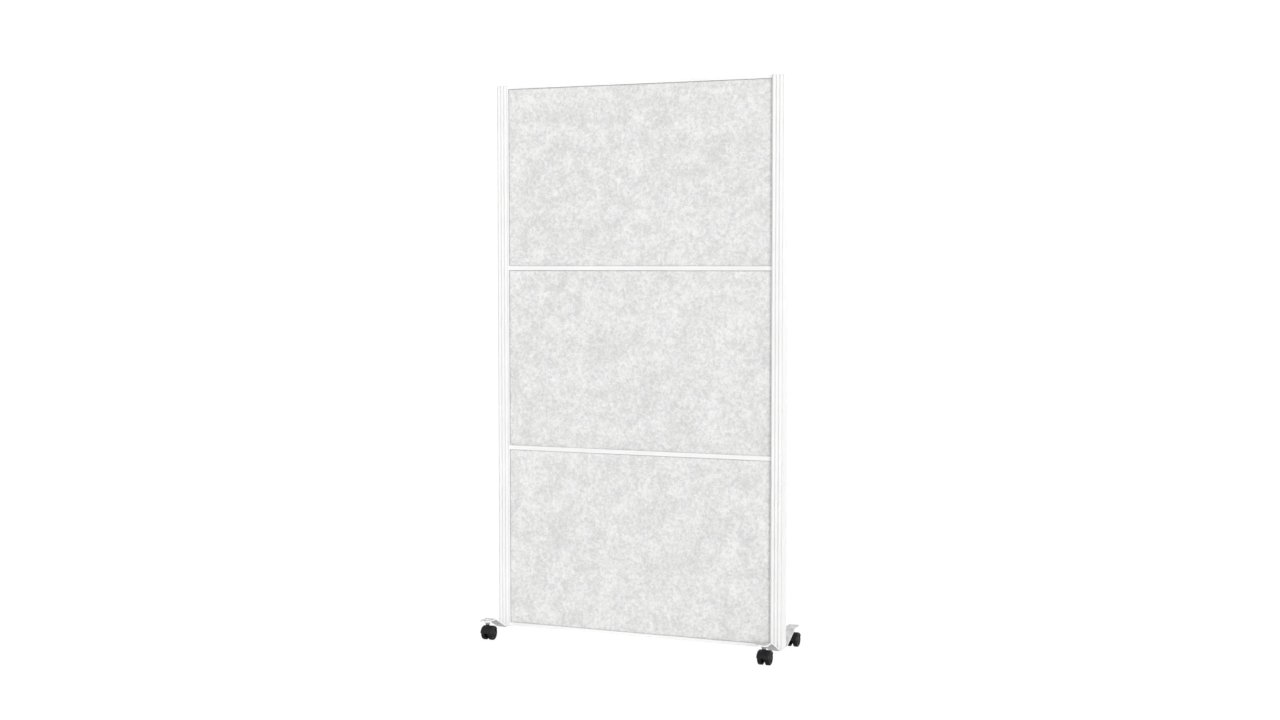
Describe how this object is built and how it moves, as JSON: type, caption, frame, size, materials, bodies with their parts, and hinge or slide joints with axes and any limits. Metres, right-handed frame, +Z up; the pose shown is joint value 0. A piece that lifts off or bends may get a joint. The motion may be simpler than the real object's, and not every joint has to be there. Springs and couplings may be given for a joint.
{
  "type": "mobile partition wall",
  "caption": "Free-standing sound-absorbing partition wall: stacked felt panels between ribbed posts on bent feet with twin-wheel castors.",
  "frame": {"origin": "on the floor, in the wall's centre plane and midway between the posts", "axes": "+X along the wall to the right as seen from the front, +Y from the front to the rear, +Z up"},
  "size_m": [1.0084, 0.3465, 1.838],
  "materials": {
    "frame_coat": "white powder coat on extruded aluminium, semi-matt",
    "foot_coat": "white powder coat on bent steel plate, semi-matt",
    "cap_plastic": "fine moulded grain, white",
    "strip_plastic": "smooth extruded, white",
    "felt": "pressed polyester felt, mottled light grey",
    "core_board": "light filler board, not seen",
    "fastener_steel": "zinc plated",
    "castor_steel": "zinc plated, turned",
    "hood_nylon": "fine moulded grain, black",
    "wheel_nylon": "moulded nylon, black, dulled tread"
  },
  "bodies": {
    "wall": {"left_post": "frame_coat", "left_post_cap": "cap_plastic", "left_cover_strip": "strip_plastic", "left_rail_screws": "fastener_steel", "left_foot": "foot_coat", "left_foot_bolts": "fastener_steel", "right_post": "frame_coat", "right_post_cap": "cap_plastic", "right_cover_strip": "strip_plastic", "right_rail_screws": "fastener_steel", "right_foot": "foot_coat", "right_foot_bolts": "fastener_steel", "bottom_rail": "frame_coat", "lower_middle_rail": "frame_coat", "upper_middle_rail": "frame_coat", "top_rail": "frame_coat", "bottom_front_felt": "felt", "bottom_core_board": "core_board", "bottom_rear_felt": "felt", "middle_front_felt": "felt", "middle_core_board": "core_board", "middle_rear_felt": "felt", "top_front_felt": "felt", "top_core_board": "core_board", "top_rear_felt": "felt", "front_left_stem": "castor_steel", "front_right_stem": "castor_steel", "rear_left_stem": "castor_steel", "rear_right_stem": "castor_steel"},
    "front_left_swivel": {"front_left_hood": "hood_nylon", "front_left_axle": "castor_steel"},
    "front_left_outer_wheel": {"front_left_outer_wheel": "wheel_nylon"},
    "front_left_inner_wheel": {"front_left_inner_wheel": "wheel_nylon"},
    "front_right_swivel": {"front_right_hood": "hood_nylon", "front_right_axle": "castor_steel"},
    "front_right_outer_wheel": {"front_right_outer_wheel": "wheel_nylon"},
    "front_right_inner_wheel": {"front_right_inner_wheel": "wheel_nylon"},
    "rear_left_swivel": {"rear_left_hood": "hood_nylon", "rear_left_axle": "castor_steel"},
    "rear_left_outer_wheel": {"rear_left_outer_wheel": "wheel_nylon"},
    "rear_left_inner_wheel": {"rear_left_inner_wheel": "wheel_nylon"},
    "rear_right_swivel": {"rear_right_hood": "hood_nylon", "rear_right_axle": "castor_steel"},
    "rear_right_outer_wheel": {"rear_right_outer_wheel": "wheel_nylon"},
    "rear_right_inner_wheel": {"rear_right_inner_wheel": "wheel_nylon"}
  },
  "joints": [
    {"name": "front_left_swivel_turn", "type": "hinge", "parent": "wall", "child": "front_left_swivel", "pos_m": [-0.482, -0.144, 0.0645], "axis": [0, 0, 1], "continuous": true},
    {"name": "front_left_outer_wheel_roll", "type": "hinge", "parent": "front_left_swivel", "child": "front_left_outer_wheel", "pos_m": [-0.482, -0.134, 0.0225], "axis": [1, 0, 0], "continuous": true},
    {"name": "front_left_inner_wheel_roll", "type": "hinge", "parent": "front_left_swivel", "child": "front_left_inner_wheel", "pos_m": [-0.482, -0.134, 0.0225], "axis": [1, 0, 0], "continuous": true},
    {"name": "front_right_swivel_turn", "type": "hinge", "parent": "wall", "child": "front_right_swivel", "pos_m": [0.482, -0.144, 0.0645], "axis": [0, 0, 1], "continuous": true},
    {"name": "front_right_outer_wheel_roll", "type": "hinge", "parent": "front_right_swivel", "child": "front_right_outer_wheel", "pos_m": [0.482, -0.134, 0.0225], "axis": [1, 0, 0], "continuous": true},
    {"name": "front_right_inner_wheel_roll", "type": "hinge", "parent": "front_right_swivel", "child": "front_right_inner_wheel", "pos_m": [0.482, -0.134, 0.0225], "axis": [1, 0, 0], "continuous": true},
    {"name": "rear_left_swivel_turn", "type": "hinge", "parent": "wall", "child": "rear_left_swivel", "pos_m": [-0.482, 0.144, 0.0645], "axis": [0, 0, 1], "continuous": true},
    {"name": "rear_left_outer_wheel_roll", "type": "hinge", "parent": "rear_left_swivel", "child": "rear_left_outer_wheel", "pos_m": [-0.482, 0.154, 0.0225], "axis": [1, 0, 0], "continuous": true},
    {"name": "rear_left_inner_wheel_roll", "type": "hinge", "parent": "rear_left_swivel", "child": "rear_left_inner_wheel", "pos_m": [-0.482, 0.154, 0.0225], "axis": [1, 0, 0], "continuous": true},
    {"name": "rear_right_swivel_turn", "type": "hinge", "parent": "wall", "child": "rear_right_swivel", "pos_m": [0.482, 0.144, 0.0645], "axis": [0, 0, 1], "continuous": true},
    {"name": "rear_right_outer_wheel_roll", "type": "hinge", "parent": "rear_right_swivel", "child": "rear_right_outer_wheel", "pos_m": [0.482, 0.154, 0.0225], "axis": [1, 0, 0], "continuous": true},
    {"name": "rear_right_inner_wheel_roll", "type": "hinge", "parent": "rear_right_swivel", "child": "rear_right_inner_wheel", "pos_m": [0.482, 0.154, 0.0225], "axis": [1, 0, 0], "continuous": true}
  ]
}
